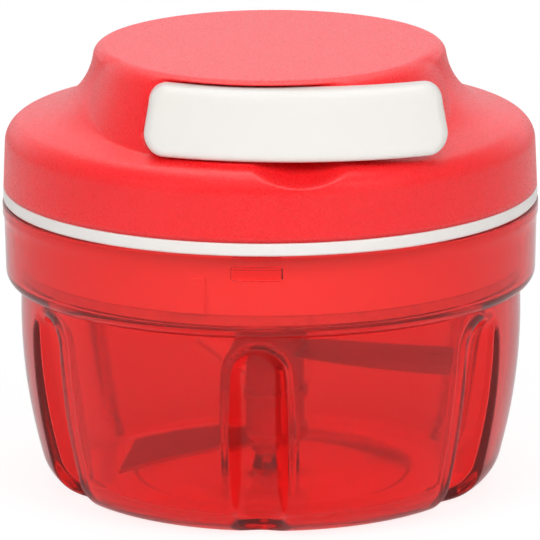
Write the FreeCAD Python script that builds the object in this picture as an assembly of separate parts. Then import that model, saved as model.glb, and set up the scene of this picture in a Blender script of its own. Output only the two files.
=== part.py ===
import FreeCAD, Part
import math
import os

# Pull-string food chopper, in millimetres. +Z is up, the origin is on the table under the
# bowl's axis, and the handle is pulled towards -Y.

# Bowl
rim_radius = 58.2
rim_height = 63.7
rim_band_height = 2.6
rim_band_step = 0.3
collar_height = 18.0
collar_draft = 0.3
step_width = 3.3
belly_bulge = 0.9
belly_height = 27.2
base_inset = 6.8
collar_round = 3.3
belly_arc_gap = 0.78
base_round = 10.0
bowl_wall = 2.0
floor_thickness = 2.0
foot_recess = 1.0
foot_recess_radius = 30.0

# Flutes pressed into the bowl's wall
flute_count = 6
flute_angle = -93.0
flute_radius = 7.2
flute_depth = 5.0
flute_top_gap = 2.1
flute_bend_height = 4.5
flute_toe_slant = 0.5

# Pivot in the bowl's floor
pivot_post_radius = 5.0
pivot_post_top_radius = 3.6
pivot_post_height = 3.4
pivot_pin_radius = 1.5
pivot_pin_sunk = 2.4
pivot_pin_height = 18.0
pivot_pin_chamfer = 0.4
running_clearance = 0.06

# Lock lugs: on the bowl's collar, and under them on the lid's skirt
lug_count = 3
lug_thickness = 1.4
lug_height = 2.8
bowl_lug_width = 10.7
bowl_lug_drop = 4.9
lid_lug_width = 2.6
lid_lug_gap = 0.4
lid_lug_height = 7.6
lid_lug_depth = 1.3
lid_lug_slant = 5.0
lid_lock_angle = 13.0

# Lid base, the white piece
ring_inset = 0.2
ring_height = 2.9
rim_gap = 0.3
ring_edge_round = 0.5
skirt_gap = 1.9
skirt_wall = 1.8
skirt_stand = 2.8
plate_drop = 4.0
plate_thickness = 2.0
spigot_height = 4.0
spigot_wall = 1.6
spigot_clearance = 0.25
base_boss_radius = 9.0
base_boss_depth = 4.2
rib_count = 8
rib_angle = 22.5
rib_thickness = 1.4
rib_height = 2.6

# Seal: its foot closes on the bowl's ledge, its leg snaps into the skirt
seal_width = 3.0
seal_ledge_gap = 0.3
seal_turning_gap = 0.08
seal_leg_height = 3.0
seal_leg_wall = 1.2
seal_bead = 0.5
seal_bead_height = 1.0
seal_round = 0.3
seal_bead_round = 0.15

# Lid cover
cover_wall = 2.2
cover_inset = 0.04
shoulder_draft = 0.61
shoulder_rise = 13.53
shoulder_round = 5.2
shoulder_width = 17.43
cap_foot_rise = 5.13
cap_foot_round = 15.6
cap_draft = 2.11
cap_rise = 12.14
cap_round = 2.5
inner_round = 0.5

# Leaning pad on the front of the cap, and the dish under it for a finger
pad_top_inset = 2.61
pad_top_forward = 7.0
pad_height = 21.7
pad_spread = 3.7
pad_foot_forward = 17.3
dish_radius = 16.0
dish_stand = 5.65
dish_drop = 4.9

# Handle: it sits to one side of the middle, because the cord leaves the reel at its side
handle_offset = 5.4
handle_top_drop = 1.5
handle_height = 12.8
handle_foot_width = 62.8
handle_taper = 2.2
handle_corner_round = 4.5
handle_bow_radius = 68.0
handle_inset = 3.55
handle_lean = 30.4
handle_thickness = 6.0
handle_seat_gap = 0.3
handle_edge_round = 1.7
handle_shell = 1.5
handle_back_thickness = 1.2
handle_back_fit = 0.05
handle_boss_radius = 3.6

# Cord, with its eyelet and its ferrule
cord_diameter = 1.5
cord_exit_drop = 7.9
cord_bend_radius = 15.0
cord_bend_behind = 3.0
cord_play = 0.25
eyelet_wall = 1.2
eyelet_flange_radius = 3.3
eyelet_flange_thickness = 1.2
eyelet_length = 5.4
eyelet_boss_radius = 5.6
press_gap = 0.02
ferrule_radius = 1.7
ferrule_length = 2.2

# Reel and its spring case
drum_radius = 14.0
drum_drop = 11.7
drum_height = 8.0
drum_flange_radius = 24.0
drum_flange_thickness = 1.0
drum_pocket_inner = 8.5
drum_pocket_outer = 12.2
drum_pocket_depth = 6.0
hub_recess_radius = 6.9
winding_turns = 3.1
winding_pitch = 1.95
winding_gap = 0.1
spring_case_radius = 26.0
spring_case_wall = 2.0
spring_case_height = 9.0
spring_case_roof = 1.6
case_cover_thickness = 1.4
case_cover_rebate = 1.0
peg_count = 3
peg_radius = 0.7

# Fixed axle, its clip and the return spring that is hooked to it
axle_radius = 3.0
axle_boss_radius = 6.0
axle_boss_depth = 3.0
axle_sunk = 0.8
axle_slot = 0.9
axle_tail = 2.4
clip_radius = 4.8
clip_thickness = 0.6
clip_groove = 0.6
clip_mouth = 3.6
clip_gap = 0.03
spring_strip = 0.5
spring_side_gap = 0.3
spring_turns = 7
spring_inner_radius = 4.2
spring_outer_radius = 22.4
spring_tongue_gap = 1.0
end_float = 0.4

# Ratchet between the reel and the output shaft
pawl_hub_radius = 7.4
pawl_hub_wall = 2.0
pawl_height = 3.8
pawl_arm_radius = 14.4
pawl_arm_thickness = 1.5
pawl_arm_angle = 105.0
pawl_root_width = 3.0
pawl_tip_width = 3.0
pawl_count = 2
tooth_count = 12
tooth_tip_radius = 16.2
tooth_root_radius = 18.4
tooth_gap = 0.3
cup_radius = 20.4
cup_height = 6.6
cup_floor = 1.8
cup_gap = 0.2

# Output shaft, its bush and the coupler under the lid
shaft_radius = 4.0
shaft_flat = 3.1
bush_wall = 1.6
bush_flange_radius = 8.4
bush_flange_thickness = 1.2
coupler_radius = 7.7
coupler_top_gap = 0.4
coupler_length = 12.4
coupler_flange_height = 1.8
coupler_round = 0.6
coupler_top_round = 0.4
coupler_shaft_depth = 8.0
coupler_waist_radius = 6.4
coupler_waist_height = 5.0
jaw_inner_radius = 3.4
jaw_outer_radius = 5.4
jaw_sweep_angle = 60.0
jaw_length = 9.4
jaw_clearance = 0.3
jaw_count = 2
jaw_angle = 35.0
coupler_screw_radius = 1.5
coupler_screw_head = 2.8
coupler_screw_head_height = 1.8
coupler_screw_length = 7.0
screw_slot = 0.8

# Blade stem
stem_radius = 7.2
stem_foot_gap = 0.8
stem_foot_radius = 5.4
stem_foot_height = 2.4
socket_radius = 7.9
stem_round = 1.0
socket_floor_gap = 0.5
socket_floor_thickness = 2.0
socket_flare_height = 1.9
socket_top_gap = 0.8
collar_ring_radius = 8.2
collar_ring_height = 1.8
pivot_end_gap = 0.2

# Blades, each from its root in the stem outwards
blade_thickness = 1.0
blade_root = 3.4
blade_root_width = 8.0
blade_tip_width = 12.4
blade_bow = 1.6
blade_hollow = 0.8
blade_bevel = 2.4
upper_blade_rise = 0.8
upper_blade_angle = -22.0
upper_blade_wall_gap = 11.8
upper_blade_tilt_angle = 9.0
upper_blade_slant = -3.0
middle_blade_height = 20.0
middle_blade_angle = 105.0
middle_blade_wall_gap = 12.2
middle_blade_tilt_angle = 6.0
middle_blade_slant = 3.0
lower_blade_height = 11.0
lower_blade_angle = 211.0
lower_blade_wall_gap = 7.0
lower_blade_tilt_angle = -18.0
lower_blade_slant = 9.0

# Screws that hold the cover to the base
screw_count = 4
screw_wall_gap = 6.2
screw_angle = 45.0
screw_radius = 1.5
screw_head_radius = 2.8
screw_head_height = 1.6
screw_head_sunk = 2.4
screw_length = 14.0
screw_boss_radius = 4.4
screw_tower_radius = 3.4
screw_joint_rise = 11.0
screw_tip_room = 1.0
screw_clearance = 0.2

# Sizes that follow from those above
collar_radius = rim_radius - rim_band_step
collar_foot_radius = collar_radius - collar_draft
collar_inner = collar_radius - bowl_wall
step_height = rim_height - collar_height
step_radius = collar_foot_radius - step_width
belly_radius = step_radius + belly_bulge
base_corner_radius = belly_radius - base_inset
flute_top = step_height - flute_top_gap
floor_top = foot_recess + floor_thickness
ledge_height = step_height + bowl_wall
bowl_lug_foot = rim_height - bowl_lug_drop
ring_radius = rim_radius - ring_inset
ring_foot = rim_height + rim_gap
ring_top = ring_foot + ring_height
skirt_radius = collar_inner - skirt_gap
skirt_inner = skirt_radius - skirt_wall
skirt_foot = ledge_height + skirt_stand
plate_foot = ring_foot - plate_drop
plate_top = plate_foot + plate_thickness
base_boss_foot = plate_foot - base_boss_depth
cover_foot_radius = ring_radius - cover_inset
shoulder_radius = cover_foot_radius - shoulder_draft
shoulder_height = ring_top + shoulder_rise
cap_foot_radius = shoulder_radius - shoulder_width
cap_foot_height = shoulder_height + cap_foot_rise
cap_radius = cap_foot_radius - cap_draft
cap_height = cap_foot_height + cap_rise
pad_top_radius = cap_radius - pad_top_inset
pad_foot_height = cap_height - pad_height
pad_foot_radius = pad_top_radius + pad_spread
dish_forward = shoulder_radius + dish_stand
dish_height = cap_height - dish_drop
handle_top = cap_height - handle_top_drop
handle_foot = handle_top - handle_height
handle_top_width = handle_foot_width - handle_taper
handle_forward = shoulder_radius - handle_inset
cord_exit_height = cap_height - cord_exit_drop
screw_circle = skirt_inner - screw_wall_gap
screw_joint_height = plate_foot + screw_joint_rise
cord_radius = cord_diameter / 2
drum_foot = cap_height - drum_drop
wound_radius = drum_radius + winding_gap + cord_radius
winding_foot = drum_foot + winding_gap + cord_radius
roof_height = cap_height - cover_wall
case_foot = drum_foot - spring_case_height
case_inner = spring_case_radius - spring_case_wall
case_roof_foot = drum_foot - spring_case_roof
case_cover_top = case_foot + case_cover_thickness
clip_top = case_foot - end_float
clip_foot = clip_top - clip_thickness
cup_top = clip_foot - clip_thickness
cup_foot = cup_top - cup_height
cup_floor_top = cup_foot + cup_floor
bush_top = cup_foot - cup_gap
bush_radius = shaft_radius + running_clearance + bush_wall
pawl_foot = cup_floor_top + end_float
coupler_top = base_boss_foot - coupler_top_gap
shaft_foot = coupler_top - coupler_shaft_depth
coupler_web_foot = base_boss_foot - coupler_length
socket_top = coupler_web_foot - socket_top_gap
socket_floor = coupler_web_foot - jaw_length - socket_floor_gap
socket_foot = socket_floor - socket_floor_thickness
socket_shoulder = socket_foot - socket_flare_height
upper_blade_height = socket_shoulder + upper_blade_rise
upper_blade_reach = belly_radius - upper_blade_wall_gap
middle_blade_reach = belly_radius - middle_blade_wall_gap
lower_blade_reach = base_corner_radius - lower_blade_wall_gap
post_top = floor_top + pivot_post_height
pin_foot = post_top - pivot_pin_sunk
pin_top = post_top + pivot_pin_height
stem_foot = post_top + stem_foot_gap
eyelet_radius = cord_radius + cord_play + eyelet_wall

origin = FreeCAD.Vector(0, 0, 0)
up = FreeCAD.Vector(0, 0, 1)
forward = FreeCAD.Vector(0, -1, 0)


def vec(x, y, z):
    return FreeCAD.Vector(x, y, z)


def rounded_edges(corners):
    # A closed outline of straight runs through (x, height, rounding) corners, in the XZ plane.
    points = [vec(x, 0, z) for x, z, rounding in corners]
    runs = []
    for i, (x, z, rounding) in enumerate(corners):
        here = points[i]
        if rounding == 0:
            runs.append((here, None, here))
            continue
        back = (points[i - 1] - here).normalize()
        ahead = (points[(i + 1) % len(points)] - here).normalize()
        half = back.getAngle(ahead) / 2
        reach = rounding / math.tan(half)
        middle_way = (back + ahead).normalize()
        middle = here + middle_way * (rounding / math.sin(half) - rounding)
        runs.append((here + back * reach, middle, here + ahead * reach))
    edges = []
    for i, (start, middle, end) in enumerate(runs):
        if middle is not None:
            edges.append(Part.Arc(start, middle, end).toShape())
        after = runs[(i + 1) % len(runs)][0]
        if end.distanceToPoint(after) > 1e-6:
            edges.append(Part.LineSegment(end, after).toShape())
    return edges


def outline_face(corners):
    return Part.Face(Part.Wire(rounded_edges(corners)))


def turned(corners):
    # A closed (radius, height, rounding) outline turned round the Z axis.
    return outline_face(corners).revolve(origin, up, 360)


def inset(corners, wall):
    # An outline that runs from its foot up to the axis, moved inwards by the wall.
    lines = []
    for start, end in zip(corners, corners[1:]):
        here = vec(start[0], 0, start[1])
        way = (vec(end[0], 0, end[1]) - here).normalize()
        lines.append((here + vec(-way.z, 0, way.x) * wall, way))
    moved = [(lines[0][0].x, lines[0][0].z - wall, 0.0)]
    for (a, d), (b, e), corner in zip(lines, lines[1:], corners[1:]):
        cross = d.x * e.z - d.z * e.x
        point = a + d * (((b.x - a.x) * e.z - (b.z - a.z) * e.x) / cross)
        rounding = corner[2] - wall if cross > 0 else corner[2] + wall
        moved.append((point.x, point.z, max(rounding, inner_round)))
    moved.append((0.0, lines[-1][0].z, 0.0))
    return moved


def disc(radius, foot, height, x=0.0, y=0.0):
    return Part.makeCylinder(radius, height, vec(x, y, foot))


def tube(outer, inner, foot, height):
    return disc(outer, foot, height).cut(disc(inner, foot, height))


def rod(start, end, radius):
    way = end - start
    return Part.makeCylinder(radius, way.Length, start, way)


def turn(shape, degrees, axis=up):
    copy = shape.copy()
    copy.rotate(origin, axis, degrees)
    return copy


def pattern(shape, count, first=0.0):
    return [turn(shape, first + i * 360.0 / count) for i in range(count)]


def sector(outer, inner, foot, height, sweep, middle=0.0):
    # Part of a ring, sweep degrees wide about the direction middle.
    piece = Part.makeCylinder(outer, height, vec(0, 0, foot), up, sweep)
    return turn(piece.cut(disc(inner, foot, height)), middle - sweep / 2)


def radial_box(inner, outer, width, foot, height):
    return Part.makeBox(outer - inner, width, height, vec(inner, -width / 2, foot))


def circle_point(radius, degrees, height=0.0):
    angle = math.radians(degrees)
    return vec(radius * math.cos(angle), radius * math.sin(angle), height)


def save(name, shape):
    if shape.ShapeType == "Compound" and len(shape.Solids) == 1:
        shape = shape.Solids[0]
    shape.exportStep("parts/" + name + ".step")
    print(name, "solids", len(shape.Solids), "volume", round(shape.Volume, 1), "valid", shape.isValid())


# Bowl

def wall_radius(height):
    # Radius of the bowl's outside on the straight run below the belly.
    share = (belly_height - height) / belly_height
    return belly_radius + (base_corner_radius - belly_radius) * share


def flute(radius):
    # One scoop: down along the wall from a round head, then slanting in through the foot.
    stand_off = flute_radius - flute_depth
    head_drop = math.sqrt(flute_radius ** 2 - stand_off ** 2)
    head = vec(step_radius + stand_off, 0, flute_top - head_drop)
    bend = vec(wall_radius(flute_bend_height) + stand_off, 0, flute_bend_height)
    below = bend + vec(-flute_toe_slant, 0, -1) * (flute_bend_height + flute_radius)
    round_ends = [Part.makeSphere(radius, head), Part.makeSphere(radius, bend)]
    return rod(head, bend, radius).multiFuse(round_ends + [rod(bend, below, radius)])


def belly_round():
    # The belly's arc starts just under the step and goes as far down the wall below the belly.
    upper = vec(belly_radius - step_radius, 0, belly_height - step_height)
    lower = vec(base_corner_radius - belly_radius, 0, -belly_height)
    return (upper.Length - belly_arc_gap) / math.tan(upper.getAngle(lower) / 2)


def make_bowl():
    outside = [
        (0.0, rim_height, 0.0),
        (rim_radius, rim_height, 0.0),
        (rim_radius, rim_height - rim_band_height, 0.0),
        (collar_radius, rim_height - rim_band_height, 0.0),
        (collar_foot_radius, step_height, collar_round),
        (step_radius, step_height, 0.0),
        (belly_radius, belly_height, belly_round()),
        (base_corner_radius, 0.0, base_round),
        (0.0, 0.0, 0.0),
    ]
    inside = [
        (0.0, rim_height, 0.0),
        (collar_inner, rim_height, 0.0),
        (collar_foot_radius - bowl_wall, ledge_height, collar_round - bowl_wall),
        (step_radius - bowl_wall, ledge_height, bowl_wall / 2),
        (belly_radius - bowl_wall, belly_height, belly_round() - bowl_wall),
        (base_corner_radius - bowl_wall, floor_top, base_round - bowl_wall),
        (0.0, floor_top, 0.0),
    ]
    body = turned(outside).cut(pattern(flute(flute_radius), flute_count, flute_angle))
    hollow = turned(inside).cut(pattern(flute(flute_radius + bowl_wall), flute_count, flute_angle))
    recess = disc(foot_recess_radius, 0, foot_recess)
    post = Part.makeCone(pivot_post_radius, pivot_post_top_radius, pivot_post_height, vec(0, 0, floor_top))
    lug_sweep = math.degrees(bowl_lug_width / collar_inner)
    lug_outer = collar_inner + bowl_wall / 2
    lug = sector(lug_outer, collar_inner - lug_thickness, bowl_lug_foot, lug_height, lug_sweep)
    bowl = body.cut(hollow).cut(recess).multiFuse([post] + pattern(lug, lug_count, flute_angle))
    return bowl.cut(disc(pivot_pin_radius + press_gap, pin_foot, pivot_post_height))


def make_pivot_pin():
    pin = disc(pivot_pin_radius, pin_foot, pin_top - pin_foot)
    top_edge = [edge for edge in pin.Edges if edge.BoundBox.ZMin > pin_top - 1e-3]
    return pin.makeChamfer(pivot_pin_chamfer, top_edge)


# Blades and their stem

def blade_outline(reach, slant, bevel, height):
    # Sickle: hollow back, bowed cutting edge. A slant above zero leaves the back longer than the edge.
    back_root = vec(blade_root, blade_root_width / 2, height)
    back_tip = vec(reach + min(slant, 0.0), blade_tip_width / 2, height)
    edge_root = vec(blade_root, bevel - blade_root_width / 2, height)
    edge_tip = vec(reach - max(slant, 0.0), bevel - blade_tip_width / 2, height)
    back_middle = (back_root + back_tip) * 0.5 - vec(0, blade_hollow, 0)
    edge_middle = (edge_root + edge_tip) * 0.5 - vec(0, blade_bow, 0)
    return Part.Wire([
        Part.LineSegment(edge_root, back_root).toShape(),
        Part.Arc(back_root, back_middle, back_tip).toShape(),
        Part.LineSegment(back_tip, edge_tip).toShape(),
        Part.Arc(edge_tip, edge_middle, edge_root).toShape(),
    ])


def make_blade(height, direction, reach, pitch, slant):
    flat = blade_outline(reach, slant, 0.0, -blade_thickness / 2)
    ground = blade_outline(reach, slant, blade_bevel, blade_thickness / 2)
    blade = Part.makeLoft([flat, ground], True, True)
    blade = turn(blade, pitch, vec(1, 0, 0))
    blade = turn(blade, direction)
    blade.translate(vec(0, 0, height))
    return blade


def make_stem(blades):
    body = turned([
        (0.0, stem_foot, 0.0),
        (stem_foot_radius, stem_foot, 0.0),
        (stem_radius, stem_foot + stem_foot_height, stem_round),
        (stem_radius, socket_shoulder, 0.0),
        (socket_radius, socket_foot, stem_round),
        (socket_radius, socket_top, 0.0),
        (0.0, socket_top, 0.0),
    ])
    rings = [
        disc(collar_ring_radius, height - collar_ring_height / 2, collar_ring_height)
        for height in (upper_blade_height, middle_blade_height, lower_blade_height)
    ]
    socket_bore = disc(jaw_outer_radius + jaw_clearance, socket_floor, socket_top - socket_floor)
    pivot_bore = disc(pivot_pin_radius + running_clearance, stem_foot, pin_top + pivot_end_gap - stem_foot)
    dog_height = socket_top - socket_floor
    dog_root = jaw_outer_radius + jaw_clearance * 2
    dog = sector(dog_root, jaw_inner_radius - jaw_clearance, socket_floor, dog_height, jaw_sweep_angle)
    dogs = pattern(dog, jaw_count, jaw_angle + 180.0 / jaw_count)
    stem = body.multiFuse(rings).cut([socket_bore, pivot_bore]).multiFuse(dogs)
    return stem.cut(blades)


# Handle, and the seat for it in the pad

def lean_shift(height):
    return (height - handle_foot) * math.tan(math.radians(handle_lean))


def handle_front_at(height):
    return handle_forward - lean_shift(height)


def seat_at(height):
    return handle_front_at(height) - handle_thickness - handle_seat_gap


def handle_outline(grow):
    # The handle seen from the front, grown on every side.
    foot_half = handle_foot_width / 2 + grow
    top_half = handle_top_width / 2 + grow
    corner = max(handle_corner_round + grow, inner_round)
    return outline_face([
        (handle_offset - foot_half, handle_foot - grow, corner),
        (handle_offset + foot_half, handle_foot - grow, corner),
        (handle_offset + top_half, handle_top + grow, corner),
        (handle_offset - top_half, handle_top + grow, corner),
    ])


def leaning_slab(front, back):
    # A bowed slab that leans back: front and back are its distances from the axis at the handle's foot.
    half = handle_foot_width / 2 + handle_thickness
    foot = handle_foot - handle_thickness
    top = handle_top + handle_thickness
    bow_rise = handle_bow_radius - math.sqrt(handle_bow_radius ** 2 - half ** 2)
    shift = vec(handle_offset, 0, foot)
    slant = lean_shift(foot)
    left_front = vec(-half, slant - front + bow_rise, 0) + shift
    middle_front = vec(0, slant - front, 0) + shift
    right_front = vec(half, slant - front + bow_rise, 0) + shift
    deeper = vec(0, front - back, 0)
    section = Part.Wire([
        Part.Arc(left_front, middle_front, right_front).toShape(),
        Part.LineSegment(right_front, right_front + deeper).toShape(),
        Part.Arc(right_front + deeper, middle_front + deeper, left_front + deeper).toShape(),
        Part.LineSegment(left_front + deeper, left_front).toShape(),
    ])
    return Part.Face(section).extrude(vec(0, lean_shift(top) - slant, top - foot))


def handle_block(front, back, grow):
    prism = handle_outline(grow)
    prism.translate(vec(0, handle_forward, 0))
    prism = prism.extrude(forward * (3 * handle_forward))
    return leaning_slab(front, back).common(prism)


def front_edges(shape, front):
    # Edges that lie in the bowed front surface.
    found = []
    for edge in shape.Edges:
        place = edge.valueAt((edge.FirstParameter + edge.LastParameter) / 2)
        across = place.x - handle_offset
        bow = handle_bow_radius - math.sqrt(handle_bow_radius ** 2 - across ** 2)
        if abs(place.y + front - lean_shift(place.z) - bow) < 1e-3:
            found.append(edge)
    return found


def cord_line(start, end, radius):
    # A round bar along the cord's way out, between two distances in front of the axis.
    first = vec(handle_offset, -start, cord_exit_height)
    last = vec(handle_offset, -end, cord_exit_height)
    return rod(first, last, radius)


def ferrule_front():
    # The ferrule's top edge is the first to meet the leaning front of the handle.
    return handle_front_at(cord_exit_height + ferrule_radius) - handle_shell


def ferrule_back():
    return ferrule_front() - ferrule_length


def ferrule_seat():
    return cord_line(ferrule_back(), ferrule_front(), ferrule_radius + press_gap)


def make_handle_front():
    block = handle_block(handle_forward, handle_forward - handle_thickness, 0.0)
    block = block.makeFillet(handle_edge_round, front_edges(block, handle_forward))
    plate_front = handle_forward - handle_thickness + handle_back_thickness
    far_back = plate_front - handle_thickness
    hollow = handle_block(handle_forward - handle_shell, far_back, -handle_shell)
    plate_room = handle_block(plate_front + handle_back_fit, far_back, -handle_shell)
    boss = cord_line(0, ferrule_front() + handle_shell / 2, handle_boss_radius)
    cord_hole = cord_line(0, ferrule_front(), cord_radius + cord_play)
    return block.cut(hollow.cut(boss)).cut([plate_room, ferrule_seat(), cord_hole])


def make_handle_back():
    back = handle_forward - handle_thickness
    plate = handle_block(back + handle_back_thickness, back, -handle_shell - handle_back_fit)
    return plate.cut([cord_line(0, handle_forward, cord_radius + cord_play), ferrule_seat()])


def make_ferrule():
    return cord_line(ferrule_back(), ferrule_front(), ferrule_radius)


# Lid cover

def pad(wall):
    # The leaning pad, or the hollow in it when a wall is left.
    top = cap_height - wall
    share = (top - pad_foot_height) / (cap_height - pad_foot_height)
    top_radius = pad_foot_radius + (pad_top_radius - pad_foot_radius) * share - wall
    top_forward = pad_foot_forward + (pad_top_forward - pad_foot_forward) * share
    foot_circle = Part.makeCircle(pad_foot_radius - wall, vec(0, -pad_foot_forward, pad_foot_height))
    top_circle = Part.makeCircle(top_radius, vec(0, -top_forward, top))
    return Part.makeLoft([Part.Wire(foot_circle), Part.Wire(top_circle)], True, True)


def dish(wall):
    return Part.makeSphere(dish_radius + wall, vec(handle_offset, -dish_forward, dish_height))


def eyelet_face():
    # The flange's top edge is the first to meet the leaning seat.
    return seat_at(cord_exit_height + eyelet_flange_radius)


def make_lid_cover():
    outside = [
        (cover_foot_radius, ring_top, 0.0),
        (shoulder_radius, shoulder_height, shoulder_round),
        (cap_foot_radius, cap_foot_height, cap_foot_round),
        (cap_radius, cap_height, cap_round),
        (0.0, cap_height, 0.0),
    ]
    inside = inset(outside, cover_wall)
    front_pad = pad(0.0)
    top_edge = [edge for edge in front_pad.Edges if edge.BoundBox.ZMin > cap_height - 1e-3]
    front_pad = front_pad.makeFillet(cap_round, top_edge)
    outer = turned(outside + [(0.0, ring_top, 0.0)]).fuse(front_pad)
    hollow = turned(inside + [(0.0, inside[0][1], 0.0)]).fuse(pad(cover_wall))
    foot_seat = handle_forward - handle_thickness - handle_seat_gap
    pocket = handle_block(foot_seat + 2 * handle_thickness, foot_seat, handle_seat_gap)
    wall_grow = handle_seat_gap + cover_wall
    pocket_wall = handle_block(foot_seat + handle_thickness, foot_seat - cover_wall, wall_grow)
    thread_depth = screw_tip_height() - screw_joint_height + screw_tip_room
    towers = []
    holes = []
    for a in screw_angles():
        place = circle_point(screw_circle, a)
        towers.append(disc(screw_tower_radius, screw_joint_height, cap_height, place.x, place.y))
        holes.append(disc(screw_radius + press_gap, screw_joint_height, thread_depth, place.x, place.y))
    axle_boss = disc(axle_boss_radius, roof_height - axle_boss_depth, axle_boss_depth + cover_wall / 2)
    eyelet_boss = cord_line(eyelet_face() - eyelet_length, seat_at(cord_exit_height), eyelet_boss_radius)
    kept = pocket_wall.multiFuse([dish(cover_wall), axle_boss, eyelet_boss] + towers)
    cover = outer.cut(hollow.cut(kept)).cut([pocket, dish(0.0)])
    holes.append(disc(axle_radius + press_gap, roof_height - axle_boss_depth, axle_boss_depth + axle_sunk))
    holes.append(cord_line(0, handle_forward, eyelet_radius + press_gap))
    flange_back = eyelet_face() - eyelet_flange_thickness
    holes.append(cord_line(flange_back, handle_forward, eyelet_flange_radius + press_gap))
    return cover.cut(holes)


def make_eyelet():
    face = eyelet_face()
    flange = cord_line(face - eyelet_flange_thickness, face, eyelet_flange_radius)
    body = cord_line(face - eyelet_length, face, eyelet_radius)
    return body.fuse(flange).cut(cord_line(0, handle_forward, cord_radius + cord_play)).removeSplitter()


# Lid base, seal and screws

def screw_angles():
    return [screw_angle + i * 360.0 / screw_count for i in range(screw_count)]


def screw_seat():
    return plate_foot + screw_head_sunk


def screw_tip_height():
    return screw_seat() + screw_length


def lid_lug():
    # A wedge on the skirt that runs in under a lug of the bowl.
    top = bowl_lug_foot - lid_lug_gap
    wedge = outline_face([
        (-lid_lug_width / 2 - lid_lug_slant, top - lid_lug_height, 0.0),
        (lid_lug_width / 2, top - lid_lug_height, 0.0),
        (lid_lug_width / 2, top, 0.0),
        (-lid_lug_width / 2, top, 0.0),
    ])
    wedge = wedge.extrude(forward * (skirt_radius + lid_lug_depth))
    lug_outer = skirt_radius + lid_lug_depth
    ring = tube(lug_outer, skirt_radius - skirt_wall / 2, top - lid_lug_height, lid_lug_height)
    return turn(wedge.common(ring), 90.0)


def make_lid_base():
    ring = turned([
        (skirt_inner, ring_foot, 0.0),
        (ring_radius, ring_foot, ring_edge_round),
        (ring_radius, ring_top, ring_edge_round),
        (skirt_inner, ring_top, 0.0),
    ])
    skirt = tube(skirt_radius, skirt_inner, skirt_foot, ring_top - skirt_foot)
    spigot_radius = cover_foot_radius - cover_wall - spigot_clearance
    spigot = tube(spigot_radius, spigot_radius - spigot_wall, ring_foot, ring_height + spigot_height)
    plate = disc(skirt_inner + skirt_wall / 2, plate_foot, plate_thickness)
    boss_top = bush_top - bush_flange_thickness
    boss = disc(base_boss_radius, base_boss_foot, boss_top - base_boss_foot)
    rib_inner = bush_radius + bush_wall
    rib_outer = skirt_inner + skirt_wall / 2
    rib = radial_box(rib_inner, rib_outer, rib_thickness, plate_foot - rib_height, rib_height)
    web = radial_box(rib_inner, screw_circle, rib_thickness, plate_top, rib_height)
    towers = []
    holes = [disc(bush_radius + press_gap, base_boss_foot, boss_top - base_boss_foot)]
    for a in screw_angles():
        place = circle_point(screw_circle, a)
        towers.append(disc(screw_boss_radius, plate_foot, screw_joint_rise, place.x, place.y))
        holes.append(disc(screw_radius + screw_clearance, plate_foot, screw_length, place.x, place.y))
        head_room = screw_head_radius + screw_clearance
        head_depth = rib_height + screw_head_sunk
        holes.append(disc(head_room, plate_foot - rib_height, head_depth, place.x, place.y))
    lugs = pattern(lid_lug(), lug_count, flute_angle - lid_lock_angle)
    ribs = pattern(rib, rib_count, rib_angle) + pattern(web, screw_count, screw_angle)
    base = ring.multiFuse([skirt, spigot, plate, boss] + ribs + towers + lugs)
    groove_foot = seal_leg_top() - seal_bead_height - seal_turning_gap
    groove_height = seal_bead_height + 2 * seal_turning_gap
    groove_radius = skirt_inner + seal_bead
    holes.append(tube(groove_radius, skirt_inner - seal_leg_wall, groove_foot, groove_height))
    return base.cut(holes)


def seal_foot():
    return ledge_height + seal_ledge_gap


def seal_leg_top():
    return skirt_foot + seal_leg_height


def make_seal():
    leg_outer = skirt_inner - seal_turning_gap
    leg_inner = leg_outer - seal_leg_wall
    bead_foot = seal_leg_top() - seal_bead_height
    shelf = skirt_foot - seal_turning_gap
    return turned([
        (leg_inner, seal_foot(), seal_round),
        (leg_inner + seal_width, seal_foot(), seal_round),
        (leg_inner + seal_width, shelf, seal_round),
        (leg_outer, shelf, 0.0),
        (leg_outer, bead_foot, 0.0),
        (leg_outer + seal_bead, bead_foot, seal_bead_round),
        (leg_outer + seal_bead, seal_leg_top(), seal_bead_round),
        (leg_inner, seal_leg_top(), 0.0),
    ])


def make_lid_screws():
    screws = []
    for a in screw_angles():
        place = circle_point(screw_circle, a)
        shank = disc(screw_radius, screw_seat(), screw_length, place.x, place.y)
        head_foot = screw_seat() - screw_head_height
        head = disc(screw_head_radius, head_foot, screw_head_height, place.x, place.y)
        slot = Part.makeBox(2 * screw_head_radius, screw_slot, screw_head_height / 2,
                            vec(place.x - screw_head_radius, place.y - screw_slot / 2, head_foot))
        screws.append(shank.fuse(head).cut(slot).Solids[0])
    return Part.Compound(screws)


# Reel, axle and spring

def make_reel():
    drum_top = drum_foot + drum_height
    flange_top = drum_top + drum_flange_thickness
    hub_top = roof_height - axle_boss_depth - end_float
    bore = axle_radius + running_clearance
    rebate_radius = case_inner + case_cover_rebate
    return turned([
        (bore, case_roof_foot, 0.0),
        (case_inner, case_roof_foot, 0.0),
        (case_inner, case_cover_top, 0.0),
        (rebate_radius, case_cover_top, 0.0),
        (rebate_radius, case_foot, 0.0),
        (spring_case_radius, case_foot, 0.0),
        (spring_case_radius, drum_foot, 0.0),
        (drum_radius, drum_foot, 0.0),
        (drum_radius, drum_top, 0.0),
        (drum_flange_radius, drum_top, 0.0),
        (drum_flange_radius, flange_top, 0.0),
        (drum_pocket_outer, flange_top, 0.0),
        (drum_pocket_outer, flange_top - drum_pocket_depth, 0.0),
        (drum_pocket_inner, flange_top - drum_pocket_depth, 0.0),
        (drum_pocket_inner, flange_top, 0.0),
        (hub_recess_radius, flange_top, 0.0),
        (hub_recess_radius, hub_top, 0.0),
        (bore, hub_top, 0.0),
    ])


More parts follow.
